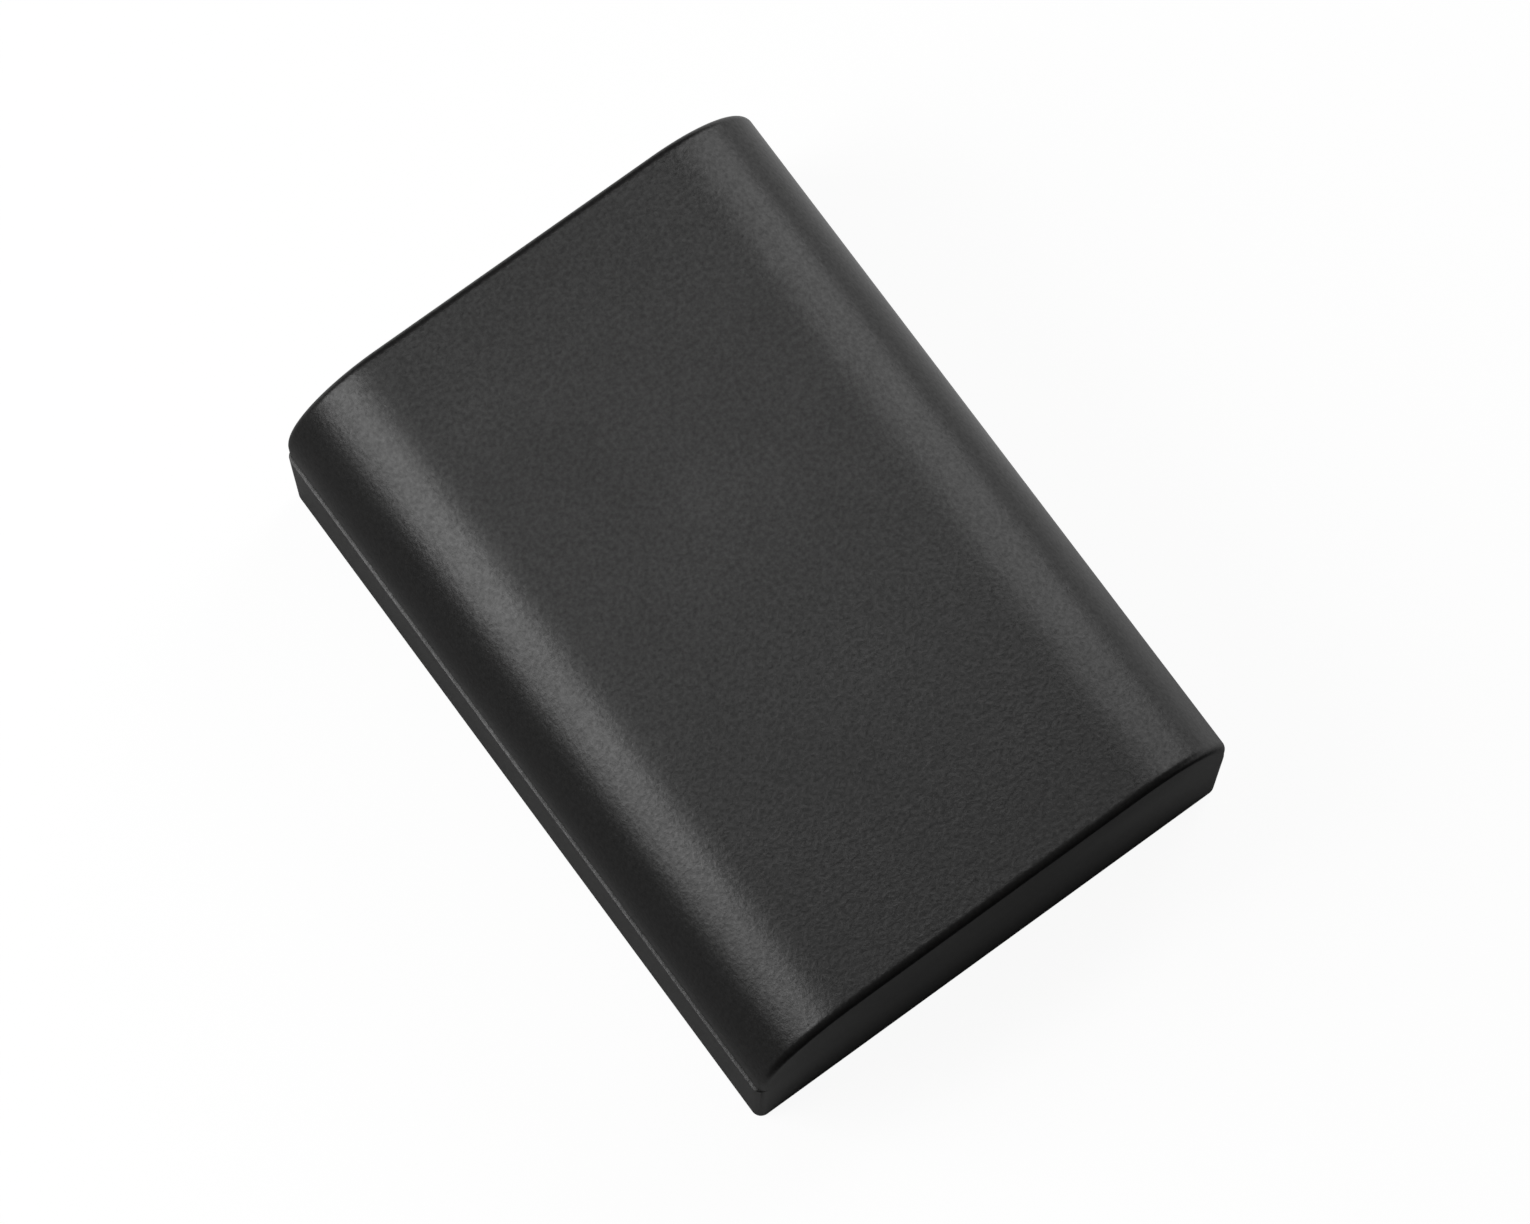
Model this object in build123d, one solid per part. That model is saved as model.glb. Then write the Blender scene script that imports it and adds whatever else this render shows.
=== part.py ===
from build123d import *
import math
import os

os.makedirs("parts", exist_ok=True)

# Millimetres: X across the pack, Y along it with the contacts at +Y, Z up from the flat face.
# The cells drive the case: its inside is the cells, their gaps and what stands at their ends.

# Cells
cell_diameter = 18.3
cell_length = 49.0
cell_gap = 0.1
cell_shoulder = 0.8
rim_shoulder = 0.6
rim_drop = 0.5
rim_width = 2.4
rim_recess = 0.7
button_radius = 3.6
button_slope = 0.6
bead_from_rim = 4.2
bead_width = 1.6
bead_depth = 0.7
bead_flat = 0.5

# Room round the cells
side_gap = 0.2
cell_fit = 0.05
rib_web = 0.25
pad_thickness = 0.6
parts_room = 2.45

# Case mouldings
wall = 1.25
long_round = 8.0
side_rise = 2.0
end_round = 0.6
corner_round = 0.75
bottom_round = 0.6
inner_corner = 0.4

# Seam: a sloping ledge on the lower case under a bevel on the upper case along the sides, flush at the ends
seam_step = 0.2
ledge_run = 0.25
ledge_drop = 0.1
seam_bevel = 0.15

# Weld tongue on the lower case and the rebate for it in the upper case
tongue_thickness = 0.5
tongue_height = 1.0
tongue_fit = 0.1
tongue_top_gap = 0.2

# Cradle ribs in the lower case
rib_count = 3
rib_pitch = 15.0
rib_thickness = 1.2
rib_height = 6.0

# Nickel strips
strip_thickness = 0.2
strip_bend = 0.4
foot_length = 1.3
tab_width = 5.0
tab_below_board_top = 0.6
link_width = 6.0
link_overlap = 3.6
weld_slot_width = 0.6
weld_slot_length = 4.0
tap_width = 3.0
tap_lift = 0.06

# Insulating sheets, rings and pads
plain_sheet = 0.25
plain_sheet_margin = 2.0
end_sheet = 0.3
end_sheet_margin = 1.0
end_sheet_corner = 1.5
tap_notch_gap = 0.4
ring_thickness = 0.25
ring_bore_gap = 0.4
pad_width = 8.0
pad_length = 34.0

# Circuit board and the rails that hold it against the end wall
board_thickness = 0.8
board_side_gap = 1.25
board_floor_gap = 0.05
board_top_gap = 2.5
board_corner = 3.0
rail_reach = 2.1
rail_thickness = 0.8
rail_below_seam = 1.0
rail_fit = 0.05

# Contact plates and the windows over them
contact_names = ("contact_positive", "contact_data", "contact_temperature", "contact_negative")
contact_pitch = 5.0
contact_width = 2.6
contact_height = 6.0
contact_thickness = 0.4
contact_edge = 0.1
window_gap = 0.2
window_bevel = 0.3

# Parts on the board, in two rows above its foot: sizes are width, height and depth
chip_row = 10.25
control_chip_size = (3.0, 3.0, 1.0)
control_chip_x = -4.5
power_switch_size = (4.4, 3.0, 1.0)
power_switch_x = 5.5
part_row = 5.25
part_row_inset = 4.2
thermistor_size = (1.6, 0.8, 0.8)
capacitor_size = (1.6, 0.8, 0.9)
capacitor_count = 2
resistor_size = (1.6, 0.8, 0.5)
resistor_count = 3
fuse_size = (3.2, 1.6, 0.8)
chip_stand = 0.1
chip_bevel = 0.15
chip_leads = 4
lead_width = 0.3
lead_thickness = 0.15
lead_reach = 0.7
end_cap_width = 0.35
end_cap_step = 0.05

# What follows from those sizes
cell_radius = cell_diameter / 2
cell_x = cell_radius + cell_gap / 2
cell_z = wall + rib_web + cell_fit + cell_radius
inner_width = 2 * (cell_x + cell_radius + side_gap)
inner_length = plain_sheet + strip_thickness + cell_length + parts_room + board_thickness
inner_top = cell_z + cell_radius + pad_thickness
inner_end = inner_length / 2
upper_wall = wall - seam_step
lower_width = inner_width + 2 * wall
upper_width = inner_width + 2 * upper_wall
case_length = inner_length + 2 * wall
case_height = inner_top + upper_wall
seam_height = case_height - long_round - side_rise
cell_start = -inner_end + plain_sheet + strip_thickness
cell_end = cell_start + cell_length
cell_middle = (cell_start + cell_end) / 2
board_outer = inner_end
board_inner = board_outer - board_thickness
board_width = inner_width - 2 * board_side_gap
board_bottom = wall + board_floor_gap
board_top = inner_top - board_top_gap
contact_level = (wall + seam_height) / 2
valley_rise = math.sqrt((cell_radius + tap_lift) ** 2 - (cell_x - tap_width / 2) ** 2)
tap_low = cell_z + valley_rise

STANDING = (Align.CENTER, Align.CENTER, Align.MIN)


def slab(x_size, y_size, z_size, x=0.0, y=0.0, z=0.0):
    """A box with its middle at x and y and its lower face at z."""
    return Pos(x, y, z) * Box(x_size, y_size, z_size, align=STANDING)


def rounded_slab(x_size, y_size, z_size, radius, z=0.0):
    """A box with four rounded upright edges and its lower face at z."""
    return Pos(0, 0, z) * extrude(RectangleRounded(x_size, y_size, radius), z_size)


def tapered_slab(low_width, low_corner, high_width, high_corner, z_low, z_high):
    """A layer of the case whose sides slope between two widths while its ends stay upright."""
    low = Pos(0, 0, z_low) * RectangleRounded(low_width, case_length, low_corner)
    high = Pos(0, 0, z_high) * RectangleRounded(high_width, case_length, high_corner)
    return loft([low.face(), high.face()], ruled=True)


def arched_slab(x_size, y_size, z_low, z_high, radius):
    """A box between two heights with its two upper long edges rounded."""
    body = slab(x_size, y_size, z_high - z_low, z=z_low)
    return fillet(body.edges().filter_by(Axis.Y).group_by(Axis.Z)[-1], radius)


def round_ends(body, radius):
    """Round the edges of both end faces, apart from the straight one at the bottom."""
    low = body.bounding_box().min.Z
    edges = [edge for face in body.faces().filter_by(Axis.Y) for edge in face.edges()]
    return fillet([edge for edge in edges if edge.bounding_box().max.Z > low + radius], radius)


def lying_cylinder(radius, length, x, y, z):
    """A cylinder whose axis runs in +Y from the given point."""
    return Pos(x, y, z) * Rot(-90, 0, 0) * Cylinder(radius, length, align=STANDING)


def upright_plate(sketch, y, thickness):
    """A sketch drawn in X and Z, made into a plate that runs in +Y from y."""
    return extrude(Plane((0, y, 0), x_dir=(1, 0, 0), z_dir=(0, -1, 0)) * sketch, -thickness)


def bent_strip(points, x, width):
    """A strip of sheet that follows points in Y and Z, with round bends."""
    line = FilletPolyline(*[(x, y, z) for y, z in points], radius=strip_bend)
    start = Plane(origin=line @ 0, x_dir=(1, 0, 0), z_dir=line % 0)
    return sweep(start * Rectangle(width, strip_thickness), path=line)


def save(shape, name):
    """Write one node to its own file."""
    shape.label = name
    export_step(shape, "parts/" + name + ".step")


def contact_places():
    """Each contact's name with the middle of its plate across the end."""
    first = -(len(contact_names) - 1) * contact_pitch / 2
    return [(name, first + index * contact_pitch) for index, name in enumerate(contact_names)]


def make_upper_cavity():
    """The hollow of the upper case, from below the seam to its ceiling."""
    hollow = arched_slab(inner_width, inner_length, seam_height - wall, inner_top, long_round - upper_wall)
    return round_ends(hollow, inner_corner)


def make_upper_case():
    """Shell with two long rounds, rounded end edges, a bevel along the seam and the tongue's rebate."""
    foot = seam_height + seam_bevel
    body = round_ends(arched_slab(upper_width, case_length, foot, case_height, long_round), end_round)
    bevelled = upper_width - 2 * seam_bevel
    body = body + tapered_slab(bevelled, end_round - seam_bevel, upper_width, end_round, seam_height, foot)
    body = body - make_upper_cavity()
    rebate = tongue_thickness + tongue_fit
    return body - rounded_slab(
        inner_width + 2 * rebate,
        inner_length + 2 * rebate,
        tongue_height + tongue_top_gap,
        inner_corner + rebate,
        z=seam_height,
    )


def make_lower_case():
    """Tray with a sloping ledge at the seam, a weld tongue, cell cradles, board rails and windows."""
    ledge = seam_height - ledge_drop
    body = rounded_slab(lower_width, case_length, ledge, corner_round)
    body = fillet(body.faces().sort_by(Axis.Z)[0].edges(), bottom_round)
    inside_ledge = lower_width - 2 * ledge_run
    body = body + tapered_slab(
        lower_width, corner_round, inside_ledge, corner_round - ledge_run, ledge, seam_height
    )
    body = body + rounded_slab(
        inner_width + 2 * tongue_thickness,
        inner_length + 2 * tongue_thickness,
        tongue_height + wall,
        inner_corner + tongue_thickness,
        z=seam_height - wall,
    )
    body = body - rounded_slab(inner_width, inner_length, case_height, inner_corner, z=wall)
    for index in range(rib_count):
        body = body + make_cradle(cell_middle + (index - (rib_count - 1) / 2) * rib_pitch)
    for side in (-1, 1):
        body = body + make_rail(side)
    for name, x in contact_places():
        body = body - make_window(x)
    return body


def make_cradle(y):
    """One rib across the floor, hollowed to seat both cells."""
    rib = slab(inner_width, rib_thickness, rib_height, y=y, z=wall)
    seat_radius = cell_radius + cell_fit
    for side in (-1, 1):
        rib = rib - lying_cylinder(seat_radius, 2 * rib_thickness, side * cell_x, y - rib_thickness, cell_z)
    return rib


def make_rail(side):
    """Upright rib on a side wall that keeps the board against the end wall."""
    return slab(
        rail_reach,
        rail_thickness,
        seam_height - rail_below_seam - wall,
        x=side * (inner_width - rail_reach) / 2,
        y=board_inner - rail_fit - rail_thickness / 2,
        z=wall,
    )


def make_window(x):
    """Cutter for one contact window, flared at the outer face."""
    width = contact_width + 2 * window_gap
    height = contact_height + 2 * window_gap
    hole = upright_plate(Pos(x, contact_level) * Rectangle(width, height), inner_end - window_gap, 2 * wall)
    mouth = Plane((x, case_length / 2, contact_level), x_dir=(1, 0, 0), z_dir=(0, -1, 0))
    wide = mouth * Rectangle(width + 2 * window_bevel, height + 2 * window_bevel)
    return hole + extrude(wide, window_bevel, taper=45)


def make_cell():
    """One sealed cell standing on its negative end: can, rolled bead, rolled rim and raised button."""
    rim = cell_length - rim_drop
    bead_low = rim - bead_from_rim
    bead_middle = bead_low + bead_width / 2
    outline = Polyline(
        (0, 0),
        (cell_radius - cell_shoulder, 0),
        (cell_radius, cell_shoulder),
        (cell_radius, bead_low),
        (cell_radius - bead_depth, bead_middle - bead_flat / 2),
        (cell_radius - bead_depth, bead_middle + bead_flat / 2),
        (cell_radius, bead_low + bead_width),
        (cell_radius, rim - rim_shoulder),
        (cell_radius - rim_shoulder, rim),
        (cell_radius - rim_width, rim),
        (cell_radius - rim_width, rim - rim_recess),
        (button_radius + button_slope, rim - rim_recess),
        (button_radius, cell_length),
        (0, cell_length),
        close=True,
    )
    return revolve(Plane.XZ * make_face(outline), Axis.Z)


def make_ring():
    """Paper ring that lies on the rolled rim, round the button."""
    bore = button_radius + button_slope + ring_bore_gap
    return extrude(Circle(cell_radius - rim_shoulder) - Circle(bore), ring_thickness)


def make_series_link():
    """Plate across both cells with weld slots, and a tap that runs back between the cells to the board."""
    sketch = Pos(0, cell_z) * SlotOverall(2 * (cell_x + link_overlap), link_width)
    for side in (-1, 1):
        sketch = sketch - Pos(side * cell_x, cell_z) * Rectangle(weld_slot_width, weld_slot_length)
    plate = upright_plate(sketch, cell_start - strip_thickness, strip_thickness)
    rise = cell_start - strip_thickness / 2
    run = tap_low + strip_thickness / 2
    foot = board_inner - strip_thickness / 2
    tap = bent_strip([(rise, cell_z), (rise, run), (foot, run), (foot, run + foot_length)], 0, tap_width)
    return plate + tap


def make_tab(x):
    """Strip welded to a cell end, folded over the end sheet and down on to the board."""
    rise = cell_end + strip_thickness / 2
    run = board_top - tab_below_board_top
    foot = board_inner - strip_thickness / 2
    low = cell_z - button_radius
    strip = bent_strip([(rise, low), (rise, run), (foot, run), (foot, run - foot_length)], x, tab_width)
    slot = Pos(x, cell_z) * Rectangle(weld_slot_width, weld_slot_length)
    return strip - upright_plate(slot, cell_end - strip_thickness, 3 * strip_thickness)


def make_end_sheet():
    """Sheet over the cell ends by the board, notched at its top for the tap."""
    width = board_width - 2 * rail_reach
    low = wall + end_sheet_margin
    high = board_top - tab_below_board_top - strip_thickness - tap_notch_gap
    sketch = Pos(0, (low + high) / 2) * RectangleRounded(width, high - low, end_sheet_corner)
    notch_low = tap_low - tap_notch_gap
    notch = Rectangle(tap_width + 2 * tap_notch_gap, high, align=(Align.CENTER, Align.MIN))
    return upright_plate(sketch - Pos(0, notch_low) * notch, cell_end + strip_thickness, end_sheet)


def make_plain_sheet():
    """Sheet between the series link and the plain end of the case."""
    width = inner_width - 2 * plain_sheet_margin
    height = cell_diameter - 2 * plain_sheet_margin
    sketch = Pos(0, cell_z) * RectangleRounded(width, height, long_round / 2)
    return upright_plate(sketch, -inner_end, plain_sheet)


def make_board():
    """Board with its two upper corners rounded to clear the case."""
    outline = Pos(0, (board_bottom + board_top) / 2) * Rectangle(board_width, board_top - board_bottom)
    outline = fillet(outline.vertices().group_by(Axis.Y)[-1], board_corner)
    return upright_plate(outline, board_inner, board_thickness)


def make_chip(size, x):
    """Moulded chip body on the board's inner face, with bent leads along two sides."""
    width, height, depth = size
    z = board_bottom + chip_row
    body = Pos(x, board_inner - chip_stand - depth / 2, z) * Box(width, depth, height)
    body = chamfer(body.faces().sort_by(Axis.Y)[0].edges(), chip_bevel)
    pitch = width / chip_leads
    for index in range(chip_leads):
        lead_x = x + (index - (chip_leads - 1) / 2) * pitch
        for side in (-1, 1):
            foot = Pos(lead_x, board_inner - lead_thickness / 2, z + side * (height + lead_reach) / 2)
            body = body + foot * Box(lead_width, lead_thickness, lead_reach)
            riser = Pos(lead_x, board_inner - depth / 4, z + side * (height + lead_thickness) / 2)
            body = body + riser * Box(lead_width, depth / 2, lead_thickness)
    return body


def make_end_capped(size, x):
    """Small two-ended part on the board's inner face: a body between two slightly larger caps."""
    width, height, depth = size
    z = board_bottom + part_row
    body_depth = depth - end_cap_step
    body = Pos(x, board_inner - body_depth / 2, z) * Box(width, body_depth, height - 2 * end_cap_step)
    for side in (-1, 1):
        cap = Pos(x + side * (width - end_cap_width) / 2, board_inner - depth / 2, z)
        body = body + cap * Box(end_cap_width, depth, height)
    return body


def row_places():
    """Middles of the thermistor, capacitors, resistors and fuse, spread evenly along their row."""
    capacitors = capacitor_count * [capacitor_size]
    resistors = resistor_count * [resistor_size]
    widths = [size[0] for size in (thermistor_size, *capacitors, *resistors, fuse_size)]
    gap = (board_width - 2 * part_row_inset - sum(widths)) / (len(widths) - 1)
    start = part_row_inset - board_width / 2
    places = []
    for width in widths:
        places.append(start + width / 2)
        start += width + gap
    return places


def make_contact(x):
    """Plated plate on the board's outer face, with its outer edges eased."""
    outline = Pos(x, contact_level) * Rectangle(contact_width, contact_height)
    plate = upright_plate(outline, board_outer, contact_thickness)
    return fillet(plate.faces().sort_by(Axis.Y)[-1].edges(), contact_edge)


def make_pad(x):
    """Foam pad, flat against the ceiling and pressed to the cell's curve below."""
    pad = slab(pad_width, pad_length, cell_radius, x=x, y=cell_middle, z=inner_top - cell_radius)
    pad = pad & make_upper_cavity()
    return pad - lying_cylinder(cell_radius, 2 * pad_length, x, cell_middle - pad_length, cell_z)


save(make_upper_case(), "upper_case")
save(make_lower_case(), "lower_case")

cell = make_cell()
save(Pos(-cell_x, cell_start, cell_z) * Rot(-90, 0, 0) * cell, "cell_left")
save(Pos(cell_x, cell_end, cell_z) * Rot(90, 0, 0) * cell, "cell_right")

ring = make_ring()
save(Pos(-cell_x, cell_end - rim_drop, cell_z) * Rot(-90, 0, 0) * ring, "insulator_ring_left")
save(Pos(cell_x, cell_start + rim_drop, cell_z) * Rot(90, 0, 0) * ring, "insulator_ring_right")

save(make_series_link(), "series_link")
save(make_tab(-cell_x), "positive_tab")
save(make_tab(cell_x), "negative_tab")
save(make_end_sheet(), "end_insulator")
save(make_plain_sheet(), "plain_end_insulator")

save(make_board(), "circuit_board")
save(make_chip(control_chip_size, control_chip_x), "control_chip")
save(make_chip(power_switch_size, power_switch_x), "power_switch")

thermistor_x, *middle_places, fuse_x = row_places()
save(make_end_capped(thermistor_size, thermistor_x), "thermistor")
save(Compound([make_end_capped(capacitor_size, x) for x in middle_places[:capacitor_count]]), "capacitors")
save(Compound([make_end_capped(resistor_size, x) for x in middle_places[capacitor_count:]]), "resistors")
save(make_end_capped(fuse_size, fuse_x), "fuse")

for contact_name, contact_x in contact_places():
    save(make_contact(contact_x), contact_name)

save(make_pad(-cell_x), "foam_pad_left")
save(make_pad(cell_x), "foam_pad_right")
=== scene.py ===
"""Rechargeable camera battery: the finish of its case, cells, board and contacts, and its studio."""

import math
from types import SimpleNamespace

import bmesh
import bpy
import numpy as np
from bpy.props import FloatProperty, FloatVectorProperty, IntProperty, PointerProperty
from mathutils import Matrix, Vector


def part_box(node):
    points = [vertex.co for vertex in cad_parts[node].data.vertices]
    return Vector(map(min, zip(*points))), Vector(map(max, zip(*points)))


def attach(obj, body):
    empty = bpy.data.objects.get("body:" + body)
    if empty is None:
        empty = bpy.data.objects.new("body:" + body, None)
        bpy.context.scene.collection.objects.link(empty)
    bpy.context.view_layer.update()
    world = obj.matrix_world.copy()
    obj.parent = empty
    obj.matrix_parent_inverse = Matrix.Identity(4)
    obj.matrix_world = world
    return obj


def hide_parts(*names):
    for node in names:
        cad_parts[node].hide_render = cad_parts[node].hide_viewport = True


bl_info = {
    "name": "Camera battery",
    "version": (1, 0, 0),
    "blender": (4, 5, 0),
    "location": "3D View > Sidebar > Battery",
    "description": "Builds the case, the cells and the contacts of a camera battery with their finishes",
    "category": "Object",
}

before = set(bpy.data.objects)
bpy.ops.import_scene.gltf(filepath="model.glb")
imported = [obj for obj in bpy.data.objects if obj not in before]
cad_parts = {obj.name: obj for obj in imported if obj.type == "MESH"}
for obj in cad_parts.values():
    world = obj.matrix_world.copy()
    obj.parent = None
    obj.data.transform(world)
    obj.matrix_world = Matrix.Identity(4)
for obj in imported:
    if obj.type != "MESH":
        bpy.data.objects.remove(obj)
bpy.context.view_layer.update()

PHOTO_WIDTH = 1530
SENSOR_WIDTH = 36.0
MERGE_DISTANCE = 1e-7
QUARTER = math.pi / 2
MILLIMETRE = 0.001
PLASTIC_IOR = 1.5
PLAIN_GLOSS = 0.5
CONTACTS = ("contact_positive", "contact_data", "contact_temperature", "contact_negative")


def number(name, value, description, **limits):
    """A plain number, which may be below zero unless a limit is given."""
    return FloatProperty(name=name, description=description, default=value, **limits)


def length(name, millimetres, description):
    """A size that is set in millimetres and kept in metres."""
    metres = millimetres * MILLIMETRE
    return number(name, metres, description, min=0.0, precision=5, subtype="DISTANCE", unit="LENGTH")


def share(name, value, description):
    """A number from 0 to 1."""
    return number(name, value, description, min=0.0, max=1.0, subtype="FACTOR")


def angle(name, degrees, description):
    """An angle that is set in degrees and kept in radians."""
    return number(name, math.radians(degrees), description, subtype="ANGLE")


def level(name, value, description):
    """A light level at which 1 shows a white surface as white."""
    return number(name, value, description, min=0.0)


def count(name, value, description):
    """A whole number of copies or mesh steps."""
    return IntProperty(name=name, description=description, default=value, min=1)


def colour(name, value, description):
    """A linear colour."""
    return FloatVectorProperty(
        name=name, description=description, default=value, size=3, min=0.0, max=1.0, subtype="COLOR"
    )


def direction(name, value, description):
    """A direction from the pack towards a lamp."""
    return FloatVectorProperty(
        name=name, description=description, default=value, size=3, subtype="DIRECTION"
    )


class CaseShape(bpy.types.PropertyGroup):
    """Sizes of the two mouldings that the boxes of their CAD nodes don't give."""

    wall: length("Wall", 1.25, "Thickness of the lower case")
    long_round: length("Long round", 8.0, "Radius of the two upper long edges")
    end_round: length("End round", 0.6, "Radius round the upper case's end faces")
    corner_round: length("Corner round", 0.75, "Radius up the lower case's corners")
    bottom_round: length("Bottom round", 0.6, "Radius round the flat face")
    inner_corner: length("Inner corner", 0.4, "Radius in the corners of the hollow")
    seam_bevel: length("Seam bevel", 0.15, "Bevel on the upper case's lower edge along its sides")
    ledge_run: length("Ledge run", 0.25, "Width of the sloping ledge along the lower case's sides")
    ledge_drop: length("Ledge drop", 0.1, "Fall of the ledge towards the outside")
    tongue_thickness: length("Tongue", 0.5, "Thickness of the weld tongue")
    tongue_fit: length("Tongue fit", 0.1, "Gap between the tongue and its rebate")
    tongue_top_gap: length("Tongue top gap", 0.2, "Gap over the tongue")
    rib_count: count("Ribs", 3, "Cradle ribs across the floor")
    rib_pitch: length("Rib pitch", 15.0, "Distance between ribs")
    rib_thickness: length("Rib thickness", 1.2, "Thickness of a rib")
    rib_height: length("Rib height", 6.0, "Height of a rib over the floor")
    rib_steps: count("Rib steps", 168, "Mesh steps across a rib")
    seat_gap: length("Seat gap", 0.05, "Gap between a cell and its cradle")
    rail_reach: length("Rail reach", 2.1, "How far a board rail stands in from the side wall")
    rail_thickness: length("Rail thickness", 0.8, "Thickness of a board rail")
    rail_below_seam: length("Rail below seam", 1.0, "Distance from the seam down to a rail's top")
    rail_fit: length("Rail fit", 0.05, "Gap between a rail and the board")
    window_gap: length("Window gap", 0.2, "Gap round a contact plate in its window")
    window_bevel: length("Window bevel", 0.3, "Flare of a window at the end face")
    support: length("Support line", 0.12, "Distance of the mesh lines that keep flats flat beside rounds")
    round_steps: count("Round steps", 32, "Mesh steps over a long round")
    corner_steps: count("Corner steps", 10, "Mesh steps round a corner")
    length_steps: count("Length steps", 36, "Mesh steps along the case")
    width_steps: count("Width steps", 28, "Mesh steps across the case")


class CellShape(bpy.types.PropertyGroup):
    """Sizes of a sealed cell that its box doesn't give."""

    shoulder: length("Shoulder", 0.8, "Round at the plain end")
    rim_shoulder: length("Rim shoulder", 0.6, "Round of the rolled rim")
    rim_drop: length("Rim drop", 0.5, "Height of the button over the rim")
    rim_width: length("Rim width", 2.4, "Width of the rolled rim")
    rim_recess: length("Rim recess", 0.7, "Depth of the moat inside the rim")
    button_radius: length("Button", 3.6, "Radius of the button's top")
    button_slope: length("Button slope", 0.6, "Flare at the button's foot")
    bead_from_rim: length("Bead from rim", 4.2, "Distance from the rim to the rolled bead")
    bead_width: length("Bead width", 1.6, "Width of the rolled bead")
    bead_depth: length("Bead depth", 0.7, "Depth of the rolled bead")
    sleeve_lip: length("Sleeve lip", 6.9, "Radius at which the sleeve ends on the plain end")
    support: length("Support line", 0.015, "Distance of the mesh lines beside sharp changes of finish")
    bead_steps: count("Bead steps", 16, "Mesh steps across the bead")
    round_steps: count("Round steps", 8, "Mesh steps over a shoulder")
    small_steps: count("Small steps", 5, "Mesh steps over the rounds at the button and the moat")
    turn_steps: count("Turn steps", 72, "Mesh steps round a cell")


class PadShape(bpy.types.PropertyGroup):
    """Form of a foam pad inside its box."""

    corner_power: share("Corner power", 0.25, "Power that squares the outline; a lower one is squarer")
    bulge: share("Bulge", 0.012, "How far the side swells at half height, as a share of the half size")
    flat_steps: count("Flat steps", 12, "Mesh steps from the middle of a face to its edge")
    side_steps: count("Side steps", 6, "Mesh steps down the side")
    turn_steps: count("Turn steps", 96, "Mesh steps round a pad")


class Finish(bpy.types.PropertyGroup):
    """Colours and surface texture."""

    upper_colour: colour("Upper case", (0.0102, 0.010, 0.0098), "Black of the upper moulding")
    lower_colour: colour("Lower case", (0.0165, 0.0163, 0.0160), "Black of the lower moulding")
    case_roughness: share("Case roughness", 0.37, "Roughness of the moulded surface")
    roughness_drift: share("Roughness drift", 0.03, "How far the roughness wanders over the surface")
    grain_size: length("Grain size", 0.32, "Width of one bump of the eroded grain")
    grain_height: length("Grain height", 0.022, "Depth of the eroded grain")
    # Painted shade and sheen: the gloss drops in the grain's pits and rises on its tops
    painted_pit_shade: share("Grain gloss", 0.12, "How far the gloss drops in the pits and rises on the tops")
    sleeve_colour: colour("Cell sleeve", (0.03, 0.10, 0.19), "Sleeve round a cell")
    nickel_colour: colour("Nickel", (0.62, 0.58, 0.52), "Nickel strip and can ends")
    gold_colour: colour("Gold", (0.83, 0.56, 0.20), "Plating of the contacts")
    board_colour: colour("Board", (0.010, 0.075, 0.028), "Solder mask of the board")
    tin_colour: colour("Tin", (0.60, 0.60, 0.58), "Solder and tinned ends")
    epoxy_colour: colour("Epoxy", (0.016, 0.016, 0.018), "Moulded chip bodies")
    ceramic_colour: colour("Ceramic", (0.32, 0.22, 0.13), "Fired ceramic bodies")
    paper_colour: colour("Paper", (0.58, 0.52, 0.36), "Insulating paper")
    foam_colour: colour("Foam", (0.035, 0.035, 0.038), "Closed-cell foam")


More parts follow.
